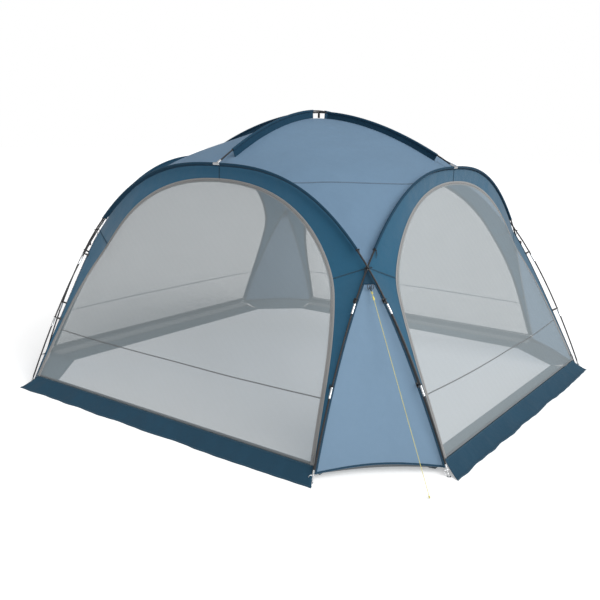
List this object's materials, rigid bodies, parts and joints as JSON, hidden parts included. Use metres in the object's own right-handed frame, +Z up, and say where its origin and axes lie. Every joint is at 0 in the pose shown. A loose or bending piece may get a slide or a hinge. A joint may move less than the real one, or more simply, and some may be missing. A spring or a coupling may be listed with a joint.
{
  "type": "dome screen shelter",
  "caption": "Square dome screen shelter on crossed arch poles, with netting walls, a curved canopy, flared skirts, fold-out zipped wall corners and a guyline.",
  "frame": {"origin": "on the ground, straight under the peak where the two roof poles cross", "axes": "+Z up, the front wall faces -Y and the right wall faces +X, lengths in metres"},
  "size_m": [4.1336, 4.1336, 2.2363],
  "materials": {
    "black_pole": "satin black coated tube",
    "silver_fitting": "bright drawn aluminium",
    "light_blue_canopy": "plain weave coated polyester, greyish light blue",
    "dark_blue_fabric": "plain weave polyester, dark slate blue",
    "grey_netting": "fine insect netting, warm grey, see-through",
    "zip_metal": "dull grey zip hardware",
    "black_webbing": "black woven tape",
    "yellow_cord": "pale yellow braided cord"
  },
  "bodies": {
    "shelter": {"front_arch_crown": "black_pole", "front_arch_left_leg": "black_pole", "front_arch_right_leg": "black_pole", "front_arch_left_foot": "silver_fitting", "front_arch_right_foot": "silver_fitting", "right_arch_crown": "black_pole", "right_arch_left_leg": "black_pole", "right_arch_right_leg": "black_pole", "right_arch_left_foot": "silver_fitting", "right_arch_right_foot": "silver_fitting", "back_arch_crown": "black_pole", "back_arch_left_leg": "black_pole", "back_arch_right_leg": "black_pole", "back_arch_left_foot": "silver_fitting", "back_arch_right_foot": "silver_fitting", "left_arch_crown": "black_pole", "left_arch_left_leg": "black_pole", "left_arch_right_leg": "black_pole", "left_arch_left_foot": "silver_fitting", "left_arch_right_foot": "silver_fitting", "front_apex_hub": "silver_fitting", "right_apex_hub": "silver_fitting", "back_apex_hub": "silver_fitting", "left_apex_hub": "silver_fitting", "roof_pole_front_to_back": "black_pole", "roof_pole_side_to_side": "black_pole", "peak_hook": "black_webbing", "roof_canopy": "light_blue_canopy", "front_arch_band": "dark_blue_fabric", "right_arch_band": "dark_blue_fabric", "back_arch_band": "dark_blue_fabric", "left_arch_band": "dark_blue_fabric", "front_netting": "grey_netting", "right_netting": "grey_netting", "back_netting": "grey_netting", "left_netting": "grey_netting", "front_skirt": "dark_blue_fabric", "right_skirt": "dark_blue_fabric", "back_skirt": "dark_blue_fabric", "left_skirt": "dark_blue_fabric", "front_right_corner_panel": "light_blue_canopy", "back_right_corner_panel": "light_blue_canopy", "back_left_corner_panel": "light_blue_canopy", "front_left_corner_panel": "light_blue_canopy", "guyline_loop": "black_webbing", "guyline": "yellow_cord"},
    "front_door": {"front_door_flap": "grey_netting"},
    "right_door": {"right_door_flap": "grey_netting"},
    "back_door": {"back_door_flap": "grey_netting"},
    "left_door": {"left_door_flap": "grey_netting"},
    "front_zip": {"front_zip_slider": "zip_metal"},
    "right_zip": {"right_zip_slider": "zip_metal"},
    "back_zip": {"back_zip_slider": "zip_metal"},
    "left_zip": {"left_zip_slider": "zip_metal"},
    "front_pull": {"front_zip_pull": "zip_metal"},
    "right_pull": {"right_zip_pull": "zip_metal"},
    "back_pull": {"back_zip_pull": "zip_metal"},
    "left_pull": {"left_zip_pull": "zip_metal"},
    "guy_runner": {"guyline_runner": "yellow_cord"}
  },
  "joints": [
    {"name": "front_door_fold", "type": "hinge", "parent": "shelter", "child": "front_door", "pos_m": [0.35, -1.93963, 0.085], "axis": [-0.8821, -0.21, -0.4218], "range_deg": [0, 115]},
    {"name": "right_door_fold", "type": "hinge", "parent": "shelter", "child": "right_door", "pos_m": [1.93963, 0.35, 0.085], "axis": [0.21, -0.8821, -0.4218], "range_deg": [0, 115]},
    {"name": "back_door_fold", "type": "hinge", "parent": "shelter", "child": "back_door", "pos_m": [-0.35, 1.93963, 0.085], "axis": [0.8821, 0.21, -0.4218], "range_deg": [0, 115]},
    {"name": "left_door_fold", "type": "hinge", "parent": "shelter", "child": "left_door", "pos_m": [-1.93963, -0.35, 0.085], "axis": [-0.21, 0.8821, -0.4218], "range_deg": [0, 115]},
    {"name": "front_zip_slide", "type": "slide", "parent": "shelter", "child": "front_zip", "axis": [-0.1443, 0.445, 0.8838], "range_m": [0, 0.42]},
    {"name": "right_zip_slide", "type": "slide", "parent": "shelter", "child": "right_zip", "axis": [-0.445, -0.1443, 0.8838], "range_m": [0, 0.42]},
    {"name": "back_zip_slide", "type": "slide", "parent": "shelter", "child": "back_zip", "axis": [0.1443, -0.445, 0.8838], "range_m": [0, 0.42]},
    {"name": "left_zip_slide", "type": "slide", "parent": "shelter", "child": "left_zip", "axis": [0.445, 0.1443, 0.8838], "range_m": [0, 0.42]},
    {"name": "front_pull_swing", "type": "hinge", "parent": "front_zip", "child": "front_pull", "pos_m": [1.33766, -1.93444, 0.138], "axis": [-0.9895, -0.0649, -0.1288], "range_deg": [0, 150]},
    {"name": "right_pull_swing", "type": "hinge", "parent": "right_zip", "child": "right_pull", "pos_m": [1.93444, 1.33766, 0.138], "axis": [0.0649, -0.9895, -0.1288], "range_deg": [0, 150]},
    {"name": "back_pull_swing", "type": "hinge", "parent": "back_zip", "child": "back_pull", "pos_m": [-1.33766, 1.93444, 0.138], "axis": [0.9895, 0.0649, -0.1288], "range_deg": [0, 150]},
    {"name": "left_pull_swing", "type": "hinge", "parent": "left_zip", "child": "left_pull", "pos_m": [-1.93444, -1.33766, 0.138], "axis": [-0.0649, 0.9895, -0.1288], "range_deg": [0, 150]},
    {"name": "guy_runner_slide", "type": "slide", "parent": "shelter", "child": "guy_runner", "axis": [0.5002, -0.2778, -0.8202], "range_m": [0, 0.6]}
  ],
  "couplings": [
    {"joint": "front_zip_slide", "follows": "front_door_fold", "m_per_rad": 0.209},
    {"joint": "right_zip_slide", "follows": "right_door_fold", "m_per_rad": 0.209},
    {"joint": "back_zip_slide", "follows": "back_door_fold", "m_per_rad": 0.209},
    {"joint": "left_zip_slide", "follows": "left_door_fold", "m_per_rad": 0.209}
  ]
}
